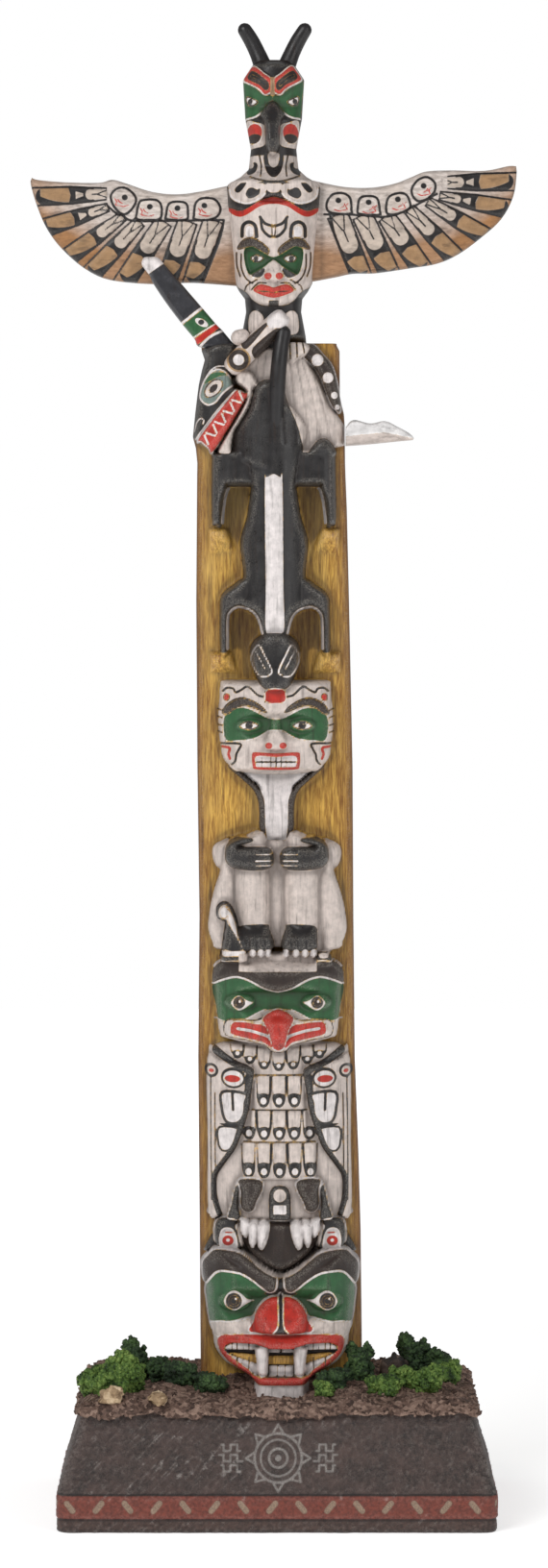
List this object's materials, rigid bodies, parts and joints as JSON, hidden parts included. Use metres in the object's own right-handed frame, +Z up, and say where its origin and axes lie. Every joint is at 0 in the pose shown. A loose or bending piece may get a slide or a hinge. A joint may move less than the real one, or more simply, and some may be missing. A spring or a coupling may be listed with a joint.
{
  "type": "miniature totem pole",
  "caption": "Painted cast-resin model of a carved totem pole with animal and bird figures, outspread wings and a slate-like base with soil and foliage.",
  "frame": {"origin": "middle of the base's underside, on the surface it stands on", "axes": "+Z up the pole, the figures face -Y, +X to the viewer's right when looking at the figures"},
  "size_m": [0.1304, 0.089, 0.3999],
  "materials": {
    "slate_paint": "dark slate-like paint, satin",
    "grit": "loose glued grit",
    "figure_paint": "hand-painted resin, satin",
    "wing_paint": "hand-painted resin, satin",
    "smooth_black": "smooth black paint with bands",
    "white_paint": "white and grey paint",
    "foliage": "bright green foam granules",
    "dark_foliage": "dark green foam granules",
    "tan_stone": "matt stone",
    "dark_stone": "matt stone"
  },
  "bodies": {
    "root": {"base": "slate_paint", "soil": "grit", "pole": "figure_paint", "wing_left": "wing_paint", "wing_right": "wing_paint", "dorsal_fin": "smooth_black", "side_fin": "white_paint", "moss_left": "foliage", "moss_left_back": "dark_foliage", "moss_left_of_pole": "dark_foliage", "moss_right_of_pole": "dark_foliage", "moss_right_front": "foliage", "moss_right_middle": "foliage", "moss_right_back": "dark_foliage", "moss_right_edge": "foliage", "moss_behind": "dark_foliage", "stone_left": "tan_stone", "stone_left_small": "tan_stone", "stone_right_dark": "dark_stone"}
  },
  "joints": []
}
